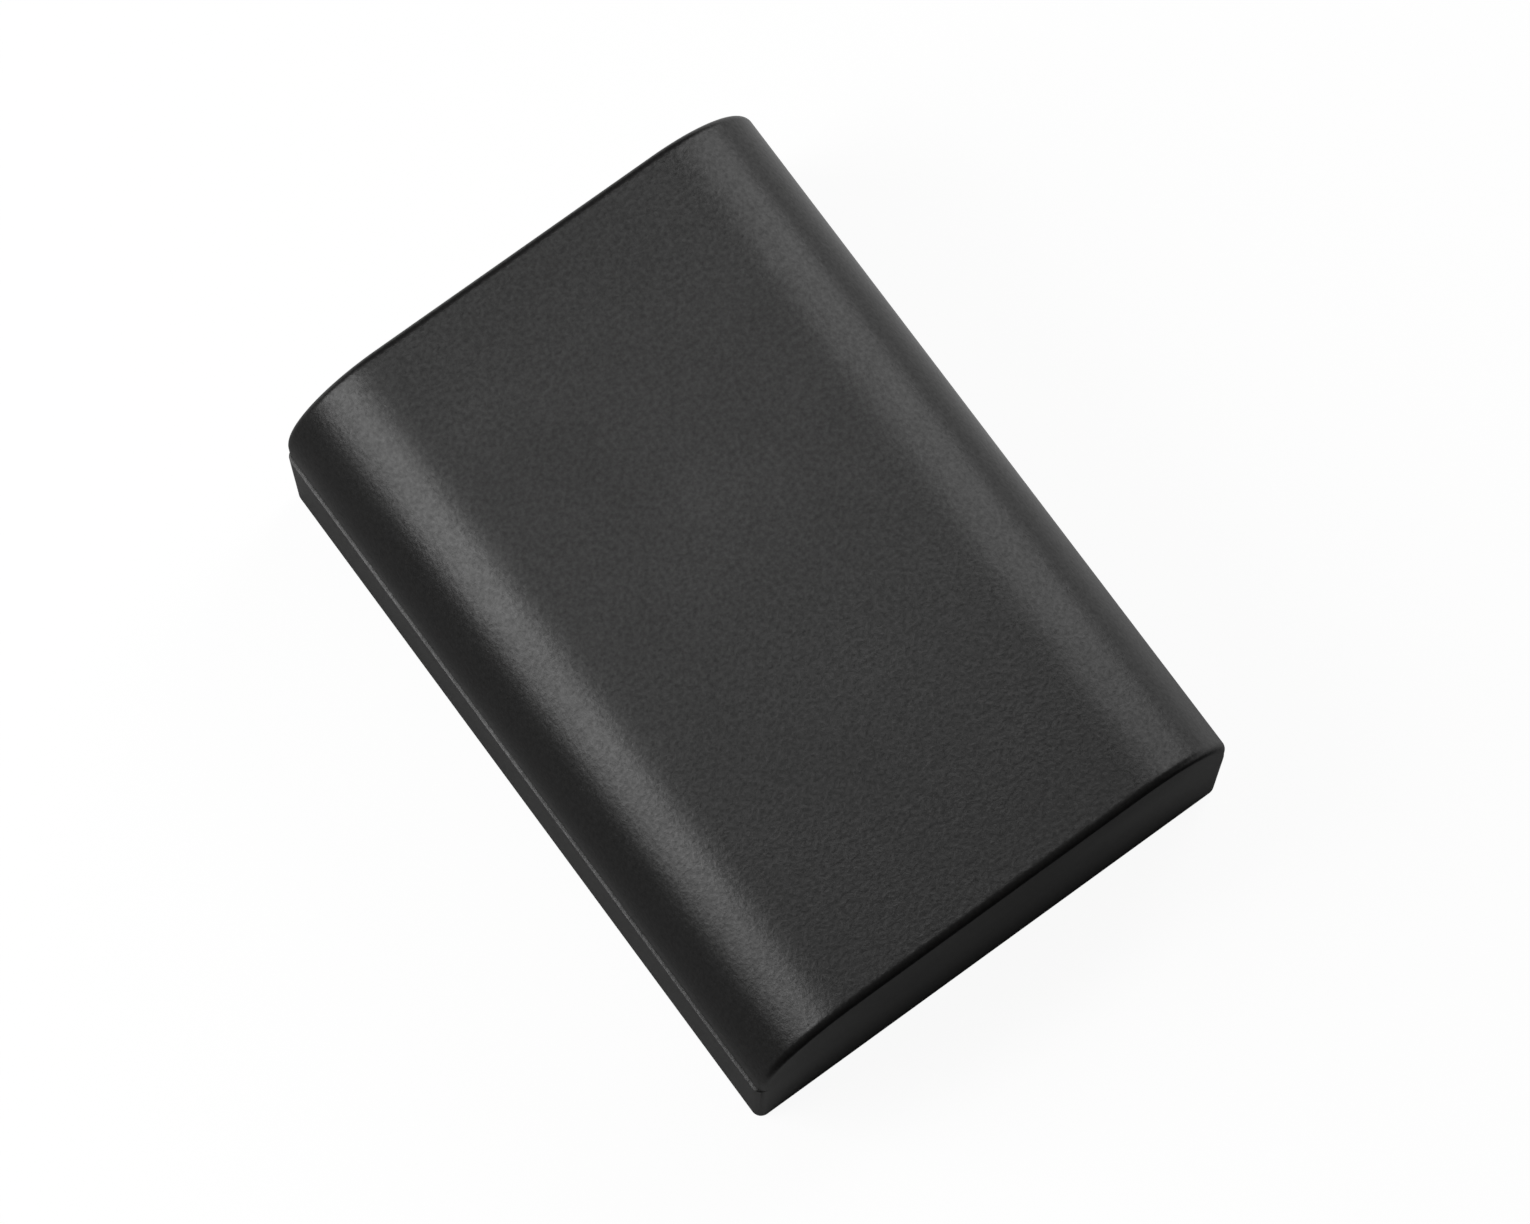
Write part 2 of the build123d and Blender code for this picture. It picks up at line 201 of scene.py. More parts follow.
class Studio(bpy.types.PropertyGroup):
    """Camera, lamps and floor."""

    azimuth: angle("Azimuth", -36.339, "Turn of the camera round the pack")
    elevation: angle("Elevation", 77.623, "Angle of the camera over the floor")
    roll: angle("Roll", 0.171, "Turn of the picture")
    distance: length("Distance", 484.3, "From the camera to the point that it circles")
    aim_height: length("Aim height", 10.0, "Height of that point, at which the lamps aim too")
    pixels_per_millimetre: number("Scale", 14.5807, "Picture pixels to a millimetre at the aim point")
    offset_right: number("Offset right", -10.71, "Aim point right of the middle, in pixels")
    offset_down: number("Offset down", -3.02, "Aim point below the middle, in pixels")
    key_direction: direction("Key direction", (-0.716, 0.323, 0.619), "Towards the lamp on the left")
    key_distance: length("Key distance", 320.0, "From the pack to the left lamp")
    key_width: length("Key width", 209.0, "Level width of the left lamp")
    key_height: length("Key height", 230.0, "Height of the left lamp up its tilted face")
    key_level: level("Key level", 0.60, "Light on a surface that faces the left lamp")
    side_direction: direction("Side direction", (0.850, 0.209, 0.484), "Towards the lamp on the right")
    side_distance: length("Side distance", 420.0, "From the pack to the right lamp")
    side_width: length("Side width", 214.0, "Level width of the right lamp")
    side_height: length("Side height", 358.0, "Height of the right lamp up its tilted face")
    side_level: level("Side level", 0.33, "Light on a surface that faces the right lamp")
    top_direction: direction("Top direction", (0.010, 0.221, 0.975), "Towards the lamp overhead")
    top_distance: length("Top distance", 360.0, "From the pack to the lamp overhead")
    top_width: length("Top width", 600.0, "Size of the lamp overhead across the pack")
    top_height: length("Top height", 60.0, "Size of the lamp overhead along the pack")
    top_level: level("Top level", 0.285, "Light on a surface that faces the lamp overhead")
    world_level: level("World level", 0.02, "Even light from all round")
    floor_size: length("Floor size", 9000.0, "Side of the floor")
    floor_gap: length("Floor gap", 0.02, "Distance of the floor below the flat face")
    floor_colour: colour("Floor", (0.45, 0.45, 0.45), "Pale floor")
    floor_glow: share("Floor glow", 0.8, "Share of plain white in what is seen of the floor")
    floor_white: level("Floor white", 1.17, "Level of that white")
    # From here to front_to: a painted reflection. In glossy rays the floor is brighter to the right and
    # behind, dimmer to the left and darkest in front, with a little painted light beside the near end
    glow_turn: angle("Glow turn", 37.0, "Direction over the floor in which its reflection brightens")
    glow_from: length("Glow from", 0.0, "Place that way where it starts to brighten")
    glow_to: length("Glow to", 24.0, "Place that way where it is at its full level")
    glow_level: share("Glow level", 0.56, "Share of the seen white in the brightest reflection")
    front_white: share("Front white", 0.066, "Share of white in the reflection of the floor just in front")
    foot_white: share("Foot white", 0.08, "Part of that white which is left beside the pack")
    dim_paint: share("Dim paint", 0.46, "Share of the paint in the reflection of the dim side")
    front_paint: share("Front paint", 0.05, "Share of the paint in the reflection of the floor further out")
    front_from: length("Front from", 40.0, "Distance towards the front where that share is reached")
    front_to: length("Front to", 32.0, "Distance towards the front where it starts")


def middle_and_half(node):
    """The middle of a CAD node's box and half its size."""
    low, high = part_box(node)
    return (low + high) / 2, (high - low) / 2


def case_sizes(shape):
    """Half sizes and heights of the case, read from the boxes of its two CAD nodes."""
    upper_low, upper_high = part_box("upper_case")
    lower_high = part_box("lower_case")[1]
    inner_half = lower_high.x - shape.wall
    upper_wall = upper_high.x - inner_half
    return SimpleNamespace(
        upper_half=upper_high.x,
        lower_half=lower_high.x,
        case_end=lower_high.y,
        inner_half=inner_half,
        inner_end=lower_high.y - shape.wall,
        upper_wall=upper_wall,
        top=upper_high.z,
        seam=upper_low.z,
        tongue_top=lower_high.z,
        ceiling=upper_high.z - upper_wall,
        floor=shape.wall,
    )


def even_with_supports(steps, half_size, support):
    """Values from -1 to 1 in even steps, with one more line close inside each end."""
    margin = support / half_size
    values = np.linspace(-1.0, 1.0, steps + 1)
    return np.sort(np.concatenate([values, [margin - 1.0, 1.0 - margin]]))


def case_layout(shape, size):
    """Parameters of the rows that run round the case and of the grids that close them.

    Each row starts at the near right corner and goes along the right side, across the far end, back
    along the left side and across the near end. A point has its place across and along from -1 to 1, its
    turn round an end edge from 0 on the side to a quarter turn on the end face, and the sign of its end."""
    quarter = np.linspace(0.0, QUARTER, shape.corner_steps + 1)
    straight = even_with_supports(shape.length_steps, size.case_end, shape.support)
    corner = np.ones(shape.corner_steps)
    unturned = np.zeros(len(straight))
    along = np.concatenate([-corner, straight, corner])
    turn = np.concatenate([quarter[:0:-1], unturned, quarter[1:]])
    end = np.concatenate([-corner, unturned, corner])
    across = even_with_supports(shape.width_steps, size.upper_half, shape.support)
    between = across[1:-1]
    side = np.ones(len(along))
    face = np.ones(len(between))
    return SimpleNamespace(
        row=(
            np.concatenate([side, between[::-1], -side, between]),
            np.concatenate([along, face, along[::-1], -face]),
            np.concatenate([turn, face * QUARTER, turn[::-1], face * QUARTER]),
            np.concatenate([end, face, end[::-1], -face]),
        ),
        cap=(across[:, None], along, turn, end),
    )


def carried_round(sections, across, along, turn, end):
    """Carry sections of the case round it.

    A section is its half width, its height, the two parts of the direction that it faces, the radius of
    its end edge and its half length. Along a side the point stays on the section. Round an end edge it moves
    inwards against the direction it faces by radius times one minus cosine of the turn, and endwards by
    radius times sine of the turn. On the end face it runs straight across."""
    half_width, height, facing_x, facing_z, radius, half_length = np.asarray(sections).T[:, :, None]
    inward = radius * (1.0 - np.cos(turn))
    x = across * (half_width - facing_x * inward)
    y = along * (half_length - radius) + end * radius * np.sin(turn)
    z = height - facing_z * inward
    return np.stack(np.broadcast_arrays(x, y, z), axis=-1)


def round_sections(half_width, half_length, top, radius, end_round, steps):
    """Sections down a long round: a quarter circle from the level top to the upright side."""
    slope = np.linspace(QUARTER, 0.0, steps + 1)
    facing_x = np.cos(slope)
    facing_z = np.sin(slope)
    return np.stack(
        [
            half_width - radius + radius * facing_x,
            top - radius + radius * facing_z,
            facing_x,
            facing_z,
            np.full(steps + 1, end_round),
            np.full(steps + 1, half_length),
        ],
        axis=-1,
    )


def upright_sections(steps):
    """Sections that face sideways, each given as its half width, half length, height and corner radius."""
    half_width, half_length, height, corner = np.asarray(steps).T
    ones = np.ones(len(height))
    return np.stack([half_width, height, ones, 0.0 * ones, corner, half_length], axis=-1)


def upper_case_sections(shape, size):
    """The upper case from its top, down the outside, over the seam edge and up the inside to its ceiling."""
    outer = round_sections(
        size.upper_half, size.case_end, size.top, shape.long_round, shape.end_round, shape.round_steps
    )
    rebate = shape.tongue_thickness + shape.tongue_fit
    rebate_outline = (size.inner_half + rebate, size.inner_end + rebate)
    rebate_corner = shape.inner_corner + rebate
    rebate_top = size.tongue_top + shape.tongue_top_gap
    bevel = shape.seam_bevel
    side_foot = size.top - shape.long_round
    upright = upright_sections(
        [
            (size.upper_half, size.case_end, side_foot - shape.support, shape.end_round),
            (size.upper_half, size.case_end, size.seam + bevel, shape.end_round),
            (size.upper_half - bevel, size.case_end, size.seam, shape.end_round - bevel),
            (*rebate_outline, size.seam, rebate_corner),
            (*rebate_outline, rebate_top, rebate_corner),
            (size.inner_half, size.inner_end, rebate_top, shape.inner_corner),
        ]
    )
    inner = round_sections(
        size.inner_half,
        size.inner_end,
        size.ceiling,
        shape.long_round - size.upper_wall,
        shape.inner_corner,
        shape.round_steps,
    )
    return np.concatenate([outer, upright, inner[::-1]])


def lower_case_sections(shape, size):
    """The lower case from its flat face, up the outside, over the ledge and tongue and down to its floor."""
    slope = np.linspace(QUARTER, 0.0, shape.corner_steps + 1)
    inset = shape.bottom_round * (1.0 - np.cos(slope))
    height = shape.bottom_round * (1.0 - np.sin(slope))
    foot_sizes = (size.lower_half - inset, size.case_end - inset, height, shape.corner_round - inset)
    foot = np.stack(foot_sizes, axis=-1)
    tongue = shape.tongue_thickness
    tongue_outline = (size.inner_half + tongue, size.inner_end + tongue)
    tongue_corner = shape.inner_corner + tongue
    ledge = shape.ledge_run
    rest = [
        (size.lower_half, size.case_end, shape.bottom_round + shape.support, shape.corner_round),
        (size.lower_half, size.case_end, size.seam - shape.ledge_drop, shape.corner_round),
        (size.lower_half - ledge, size.case_end, size.seam, shape.corner_round - ledge),
        (*tongue_outline, size.seam, tongue_corner),
        (*tongue_outline, size.tongue_top, tongue_corner),
        (size.inner_half, size.inner_end, size.tongue_top, shape.inner_corner),
        (size.inner_half, size.inner_end, size.floor, shape.inner_corner),
    ]
    return upright_sections(np.concatenate([foot, rest]))


def grid_faces(rows, columns, closed):
    """Corners of the quads of a grid of points, whose columns may close on themselves."""
    index = np.arange(rows * columns).reshape(rows, columns)
    if closed:
        index = np.concatenate([index, index[:, :1]], axis=1)
    corners = [index[:-1, :-1], index[:-1, 1:], index[1:, 1:], index[1:, :-1]]
    return np.stack(corners, axis=-1).reshape(-1, 4)


def mesh_from_grids(name, grids):
    """One mesh from pairs of a grid of points and whether its columns close, with their seams merged."""
    points = []
    faces = []
    start = 0
    for grid, closed in grids:
        rows, columns = grid.shape[:2]
        points.append(grid.reshape(-1, 3))
        faces.append(grid_faces(rows, columns, closed) + start)
        start += rows * columns
    mesh = bpy.data.meshes.new(name)
    mesh.from_pydata(np.concatenate(points).tolist(), [], np.concatenate(faces).tolist())
    work = bmesh.new()
    work.from_mesh(mesh)
    bmesh.ops.remove_doubles(work, verts=work.verts, dist=MERGE_DISTANCE)
    bmesh.ops.dissolve_degenerate(work, edges=work.edges, dist=MERGE_DISTANCE)
    bmesh.ops.recalc_face_normals(work, faces=work.faces)
    work.to_mesh(mesh)
    work.free()
    return mesh


def case_mesh(name, sections, layout):
    """A closed shell: its sections carried round, with a grid over the first and the last of them."""
    return mesh_from_grids(
        name,
        [
            (carried_round(sections, *layout.row), True),
            (carried_round(sections[:1], *layout.cap), False),
            (carried_round(sections[-1:], *layout.cap), False),
        ],
    )


def smooth_but_edges(mesh, degrees=28.0):
    """Shade smooth, with the edges that turn by more than the given angle kept sharp."""
    mesh.shade_smooth()
    mesh.set_sharp_from_angle(angle=math.radians(degrees))


def tube_grids(rings):
    """A tube through rings of four points each, closed at both ends."""
    caps = [(rings[index][[0, 1, 3, 2]].reshape(2, 2, 3), False) for index in (0, -1)]
    return [(rings, True), *caps]


def bar_rings(x, y_low, y_high, z_low, z_high):
    """Rings of a bar across the case: at each x a rectangle between two places along and two heights."""
    x, z_high = np.broadcast_arrays(x, z_high)
    low = np.full(len(x), z_low)
    near = np.full(len(x), y_low)
    far = np.full(len(x), y_high)
    corners = [(x, near, low), (x, far, low), (x, far, z_high), (x, near, z_high)]
    return np.stack([np.stack(corner, axis=-1) for corner in corners], axis=1)


def cradle_grids(shape, size):
    """Cradle ribs: the top is the lower of the rib's height and the cells' seats.

    A seat is below the cell's axis by the root of its radius squared less squared distance from it."""
    cell, cell_half = middle_and_half("cell_right")
    seat_radius = cell_half.x + shape.seat_gap
    reach = size.inner_half + shape.wall / 2
    x = np.linspace(-reach, reach, shape.rib_steps + 1)
    seat = cell.z - np.sqrt(np.clip(seat_radius**2 - (np.abs(x) - cell.x) ** 2, 0.0, None))
    top = np.minimum(size.floor + shape.rib_height, seat)
    grids = []
    for index in range(shape.rib_count):
        y = cell.y + (index - (shape.rib_count - 1) / 2) * shape.rib_pitch
        half = shape.rib_thickness / 2
        grids += tube_grids(bar_rings(x, y - half, y + half, size.floor / 2, top))
    return grids


def rail_grids(shape, size):
    """Upright rails on both side walls that keep the board against the end wall."""
    board_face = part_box("circuit_board")[0].y
    y_high = board_face - shape.rail_fit
    top = size.seam - shape.rail_below_seam
    grids = []
    for side in (-1, 1):
        x = side * np.array([size.inner_half - shape.rail_reach, size.inner_half + shape.wall / 2])
        grids += tube_grids(bar_rings(x, y_high - shape.rail_thickness, y_high, size.floor / 2, top))
    return grids


def window_grids(shape, size):
    """Cutters for the contact windows: straight through the end wall, then flared at 45 degrees outwards."""
    over = shape.wall / 2
    flare = np.array([0.0, 0.0, shape.window_bevel + over])
    y = np.array([size.inner_end - over, size.case_end - shape.window_bevel, size.case_end + over])
    grids = []
    for node in CONTACTS:
        plate, plate_half = middle_and_half(node)
        x_half = plate_half.x + shape.window_gap + flare
        z_half = plate_half.z + shape.window_gap + flare
        corners = [
            np.stack([plate.x + i * x_half, y, plate.z + j * z_half], axis=-1)
            for i, j in ((-1, -1), (1, -1), (1, 1), (-1, 1))
        ]
        grids += tube_grids(np.stack(corners, axis=1))
    return grids


def joined_and_cut(mesh, added, removed):
    """The mesh with one set of solids joined to it and another cut out of it."""
    body = bpy.data.objects.new("case_body", mesh)
    tools = []
    bpy.context.scene.collection.objects.link(body)
    for operation, grids in (("UNION", added), ("DIFFERENCE", removed)):
        tool = bpy.data.objects.new("case_tool", mesh_from_grids("case_tool", grids))
        bpy.context.scene.collection.objects.link(tool)
        step = body.modifiers.new(operation, "BOOLEAN")
        step.operation = operation
        step.solver = "EXACT"
        step.object = tool
        tools.append(tool)
    finished = bpy.data.meshes.new_from_object(body.evaluated_get(bpy.context.evaluated_depsgraph_get()))
    for item in (body, *tools):
        bpy.data.meshes.remove(item.data)
    if not finished.polygons:
        raise RuntimeError("the lower case came out empty")
    return finished


def arc(centre, radius, start, stop, steps):
    """Points of an arc in a profile, from one angle to another in degrees."""
    turn = np.radians(np.linspace(start, stop, steps + 1))
    return np.stack([centre[0] + radius * np.cos(turn), centre[1] + radius * np.sin(turn)], axis=-1)


def cell_profile(shape, radius, cell_length):
    """Radius and place along a cell, from the middle of its plain end to the middle of its button.

    The shoulders are arcs. The rolled bead dips by half its depth times one plus cosine across its width."""
    rim = cell_length - shape.rim_drop
    bead = np.linspace(-1.0, 1.0, shape.bead_steps + 1)
    bead_middle = rim - shape.bead_from_rim + shape.bead_width / 2
    dip = shape.bead_depth * (1.0 + np.cos(math.pi * bead)) / 2
    moat = radius - shape.rim_width
    lip = shape.sleeve_lip
    foot = shape.button_radius + shape.button_slope
    ease = shape.button_slope / 2
    shoulder = shape.shoulder
    rim_shoulder = shape.rim_shoulder
    parts = [
        [(0.0, 0.0), (lip - shape.support, 0.0), (lip, 0.0)],
        arc((radius - shoulder, shoulder), shoulder, -90, 0, shape.round_steps),
        np.stack([radius - dip, bead_middle + bead * shape.bead_width / 2], axis=-1),
        arc((radius - rim_shoulder, rim - rim_shoulder), rim_shoulder, 0, 90, shape.round_steps),
        [(moat + ease, rim), (moat + ease - shape.support, rim)],
        arc((moat + ease, rim - ease), ease, 90, 180, shape.small_steps),
        [(moat, rim - shape.rim_recess), (foot, rim - shape.rim_recess)],
        arc((shape.button_radius - ease, cell_length - ease), ease, 20, 90, shape.small_steps),
        [(0.0, cell_length)],
    ]
    return np.concatenate([np.asarray(part) for part in parts])


def cell_mesh(name, shape, node, forward):
    """A cell turned from its profile about its own axis, with the bare metal marked by an attribute."""
    middle, half = middle_and_half(node)
    profile = cell_profile(shape, half.x, 2 * half.y)
    turn = np.linspace(0.0, 2 * math.pi, shape.turn_steps, endpoint=False)
    reach, place = profile.T[:, :, None]
    x = middle.x + reach * np.cos(turn)
    z = middle.z + reach * np.sin(turn)
    from_middle = place - half.y + 0.0 * turn
    y = middle.y + (from_middle if forward else -from_middle)
    mesh = mesh_from_grids(name, [(np.stack([x, y, z], axis=-1), True)])
    points = np.empty(3 * len(mesh.vertices))
    mesh.vertices.foreach_get("co", points)
    points = points.reshape(-1, 3)
    from_axis = np.hypot(points[:, 0] - middle.x, points[:, 2] - middle.z)
    bare = mesh.attributes.new("bare_metal", "FLOAT", "POINT")
    inside_lip = from_axis < shape.sleeve_lip - shape.support / 2
    bare.data.foreach_set("value", inside_lip.astype(np.float32))
    smooth_but_edges(mesh, degrees=40.0)
    return mesh


def foam_mesh(name, node, pad, size, shape):
    """A foam pad pressed between the ceiling and a cell.

    Rows of a rounded rectangle open from the middle of the top, run down the side with a small bulge and
    close at the middle of the underside. The outline is the cosine and sine of the turn, each raised to a
    low power. Heights lie between the cell's circle and the ceiling with its long round."""
    middle, half = middle_and_half(node)
    cell, cell_half = middle_and_half("cell_left" if middle.x < 0 else "cell_right")
    flat = np.linspace(0.0, 1.0, pad.flat_steps + 1)
    down = np.linspace(0.0, 1.0, pad.side_steps + 1)
    bulge = 1.0 - pad.bulge * (1.0 - np.sin(math.pi * down))
    reach = np.concatenate([flat[:-1] * bulge[0], bulge, flat[-2::-1] * bulge[-1]])[:, None]
    depth = np.concatenate([0.0 * flat[:-1], down, 1.0 + 0.0 * flat[:-1]])[:, None]
    turn = np.linspace(0.0, 2 * math.pi, pad.turn_steps, endpoint=False)
    x = np.sign(np.cos(turn)) * np.abs(np.cos(turn)) ** pad.corner_power
    y = np.sign(np.sin(turn)) * np.abs(np.sin(turn)) ** pad.corner_power
    x = middle.x + reach * x * half.x
    y = middle.y + reach * y * half.y
    inner_round = shape.long_round - size.upper_wall
    past = np.clip(np.abs(x) - (size.inner_half - inner_round), 0.0, None)
    upper = size.ceiling - inner_round + np.sqrt(inner_round**2 - past**2)
    under = cell.z + np.sqrt(cell_half.x**2 - (x - cell.x) ** 2)
    mesh = mesh_from_grids(name, [(np.stack([x, y, upper + depth * (under - upper)], axis=-1), True)])
    smooth_but_edges(mesh, degrees=50.0)
    return mesh


class Finisher:
    """Shorthand for the nodes of one material."""

    def __init__(self, name):
        self.material = bpy.data.materials.new(name)
        self.material.use_nodes = True
        self.tree = self.material.node_tree
        self.tree.nodes.clear()
        self.place = self.add("ShaderNodeTexCoord").outputs["Object"]

    def add(self, kind, inputs=None, **settings):
        """A node with its settings, and its inputs set to a value or linked to a socket."""
        node = self.tree.nodes.new(kind)
        for name, value in settings.items():
            setattr(node, name, value)
        for name, value in (inputs or {}).items():
            if isinstance(value, bpy.types.NodeSocket):
                self.tree.links.new(value, node.inputs[name])
            else:
                node.inputs[name].default_value = value
        return node

    def noise(self, waves, detail=2.0, roughness=0.5, stretch=(1.0, 1.0, 1.0)):
        """Noise with so many waves to a metre, stretched along the axes where a factor is below one."""
        where = self.add("ShaderNodeMapping", {"Vector": self.place, "Scale": stretch}).outputs[0]
        inputs = {"Vector": where, "Scale": waves, "Detail": detail, "Roughness": roughness}
        return self.add("ShaderNodeTexNoise", inputs).outputs[0]

    def math(self, operation, first, second=0.0, third=0.0):
        """One step of arithmetic."""
        return self.add("ShaderNodeMath", {0: first, 1: second, 2: third}, operation=operation).outputs[0]

    def weighed(self, first, second, second_share):
        """Two values added by their shares of the sum."""
        kept = self.math("MULTIPLY", first, 1.0 - second_share)
        return self.math("MULTIPLY_ADD", second, second_share, kept)

    def span(self, value, low=0.0, high=1.0, from_low=0.3, from_high=0.7):
        """A value carried from one range, by default that of noise, to another and held inside it."""
        inputs = {"Value": value, "From Min": from_low, "From Max": from_high, "To Min": low, "To Max": high}
        return self.add("ShaderNodeMapRange", inputs).outputs[0]

    def mix(self, amount, first, second):
        """One colour laid over another by an amount from 0 to 1."""
        inputs = {0: amount}
        for index, value in ((6, first), (7, second)):
            inputs[index] = value if isinstance(value, bpy.types.NodeSocket) else (*value, 1.0)
        return self.add("ShaderNodeMix", inputs, data_type="RGBA").outputs[2]

    def shades(self, value, base, darker, lighter):
        """A colour that runs from a darker to a lighter shade of itself."""
        return self.mix(value, [c * darker for c in base], [c * lighter for c in base])

    def bump(self, height, depth):
        """Relief of the given depth in metres."""
        return self.add("ShaderNodeBump", {"Height": height, "Distance": depth, "Strength": 1.0}).outputs[0]

    def axis(self, name):
        """One coordinate of the surface point."""
        return self.add("ShaderNodeSeparateXYZ", {"Vector": self.place}).outputs[name]

    def surface(self, inputs):
        """Close the material with a principled surface."""
        shader = self.add("ShaderNodeBsdfPrincipled", inputs)
        self.add("ShaderNodeOutputMaterial", {"Surface": shader.outputs[0]})
        return self.material


def moulded_plastic(name, base, finish):
    """Black moulding with eroded grain: fine even bumps, a little uneven gloss, a faint drift in tone, and
    painted shade in the grain's pits with painted sheen on its tops, in both colour and gloss.
    """
    make = Finisher(name)
    grain = make.noise(waves=1.0 / finish.grain_size, detail=2.5, roughness=0.6)
    drift = make.noise(waves=90.0)
    # Painted shade: the colour darkens in the grain's pits and lightens on its tops, mixed with a random
    # drift in tone
    tone = make.weighed(grain, drift, second_share=0.3)
    smoothest = finish.case_roughness - finish.roughness_drift
    roughest = finish.case_roughness + finish.roughness_drift
    # Painted shade and sheen in the gloss: lower in the grain's pits, higher on its tops
    painted_pit_gloss = PLAIN_GLOSS - finish.painted_pit_shade
    painted_top_sheen_gloss = PLAIN_GLOSS + finish.painted_pit_shade
    return make.surface(
        {
            "Base Color": make.shades(make.span(tone), base, darker=0.86, lighter=1.14),
            "Roughness": make.span(drift, low=smoothest, high=roughest),
            "IOR": PLASTIC_IOR,
            "Specular IOR Level": make.span(grain, low=painted_pit_gloss, high=painted_top_sheen_gloss),
            "Normal": make.bump(grain, depth=finish.grain_height),
        }
    )


def gold_plating(name, finish):
    """Gold plate with fine upright lines and faintly duller patches where the pins wipe."""
    make = Finisher(name)
    lines = make.noise(waves=9000.0, detail=3.0, stretch=(1.0, 1.0, 0.06))
    patches = make.noise(waves=700.0, detail=3.0)
    wiped = make.math("MULTIPLY", lines, patches)
    return make.surface(
        {
            "Base Color": make.shades(make.span(patches), finish.gold_colour, darker=0.9, lighter=1.06),
            "Metallic": 1.0,
            "Roughness": make.span(wiped, low=0.16, high=0.34, from_low=0.12, from_high=0.4),
            "Normal": make.bump(lines, depth=0.002 * MILLIMETRE),
        }
    )


def rolled_nickel(name, finish):
    """Nickel strip with rolling lines along its length and a dull bloom."""
    make = Finisher(name)
    lines = make.noise(waves=7000.0, detail=3.0, stretch=(1.0, 0.05, 0.08))
    bloom = make.noise(waves=350.0, detail=4.0)
    return make.surface(
        {
            "Base Color": make.shades(make.span(bloom), finish.nickel_colour, darker=0.82, lighter=1.05),
            "Metallic": 1.0,
            "Roughness": make.span(bloom, low=0.26, high=0.44),
            "Normal": make.bump(lines, depth=0.003 * MILLIMETRE),
        }
    )


def cell_sleeve(name, finish):
    """Shrunk sleeve with faint lengthwise tension lines, and bare nickel where the attribute marks it."""
    make = Finisher(name)
    bare = make.add("ShaderNodeAttribute", attribute_name="bare_metal").outputs["Fac"]
    lines = make.noise(waves=1400.0, detail=3.0, stretch=(1.0, 0.04, 1.0))
    cloud = make.noise(waves=220.0, detail=3.0)
    sleeve = make.shades(make.span(cloud), finish.sleeve_colour, darker=0.88, lighter=1.1)
    metal = make.shades(make.span(cloud), finish.nickel_colour, darker=0.85, lighter=1.04)
    return make.surface(
        {
            "Base Color": make.mix(bare, sleeve, metal),
            "Metallic": bare,
            "Roughness": make.span(cloud, low=0.28, high=0.38),
            "Normal": make.bump(lines, depth=0.006 * MILLIMETRE),
        }
    )


def board_laminate(name, finish):
    """Solder mask over copper: lighter tracks in steps and bends, with the glass weave showing faintly."""
    make = Finisher(name)
    blocks = {"Vector": make.place, "Scale": 260.0}
    steps = make.add("ShaderNodeTexVoronoi", blocks, distance="CHEBYCHEV").outputs["Distance"]
    track_pitch = 0.16
    track_width = 0.05
    track = make.math("LESS_THAN", make.math("PINGPONG", steps, track_pitch), track_width)
    thread_turn = 9000.0
    threads = [make.math("SINE", make.math("MULTIPLY", make.axis(a), thread_turn)) for a in "XZ"]
    weave = make.math("MULTIPLY", *threads)
    crossing = make.span(weave, from_low=-1.0, from_high=1.0)
    mask = make.shades(crossing, finish.board_colour, darker=0.92, lighter=1.06)
    over_copper = 1.9
    copper = [c * over_copper for c in finish.board_colour]
    return make.surface(
        {
            "Base Color": make.mix(track, mask, copper),
            "Roughness": make.span(weave, low=0.3, high=0.36, from_low=-1.0, from_high=1.0),
            "Normal": make.bump(track, depth=0.02 * MILLIMETRE),
            "Coat Weight": 0.4,
            "Coat Roughness": 0.15,
        }
    )


def tinned_part(name, finish, body_colour, metal_mask):
    """A small board part: a speckled body with tinned metal where the mask says."""
    make = Finisher(name)
    speck = make.noise(waves=5200.0)
    body = make.shades(make.span(speck), body_colour, darker=0.8, lighter=1.2)
    tin = make.shades(make.span(speck), finish.tin_colour, darker=0.88, lighter=1.05)
    metal = metal_mask(make)
    return make.surface(
        {
            "Base Color": make.mix(metal, body, tin),
            "Metallic": metal,
            "Roughness": make.span(speck, low=0.36, high=0.52),
            "Normal": make.bump(speck, depth=0.004 * MILLIMETRE),
        }
    )


def insulating_paper(name, finish):
    """Pressed paper with long fibres lying both ways and a few darker specks."""
    make = Finisher(name)
    upright = make.noise(waves=3800.0, detail=3.0, stretch=(1.0, 1.0, 0.12))
    crosswise = make.noise(waves=3800.0, detail=3.0, stretch=(0.12, 1.0, 1.0))
    fibres = make.math("MAXIMUM", upright, crosswise)
    cloud = make.noise(waves=420.0, detail=3.0)
    tone = make.weighed(fibres, cloud, second_share=0.4)
    return make.surface(
        {
            "Base Color": make.shades(make.span(tone), finish.paper_colour, darker=0.82, lighter=1.08),
            "Roughness": make.span(cloud, low=0.8, high=0.9),
            "Normal": make.bump(fibres, depth=0.012 * MILLIMETRE),
        }
    )


def closed_cell_foam(name, finish):
    """Dark foam with small round cells cut open at its surface, with painted shade in their hollows."""
    make = Finisher(name)
    cells = make.add("ShaderNodeTexVoronoi", {"Vector": make.place, "Scale": 3200.0}).outputs["Distance"]
    cloud = make.noise(waves=600.0)
    # Painted shade: each opened cell is darker at its hollow middle and lighter at its rim
    rim = make.span(cells, from_low=0.1, from_high=0.6)
    return make.surface(
        {
            "Base Color": make.shades(rim, finish.foam_colour, darker=0.6, lighter=1.3),
            "Roughness": make.span(cloud, low=0.84, high=0.94),
            "Normal": make.bump(cells, depth=0.06 * MILLIMETRE),
        }
    )


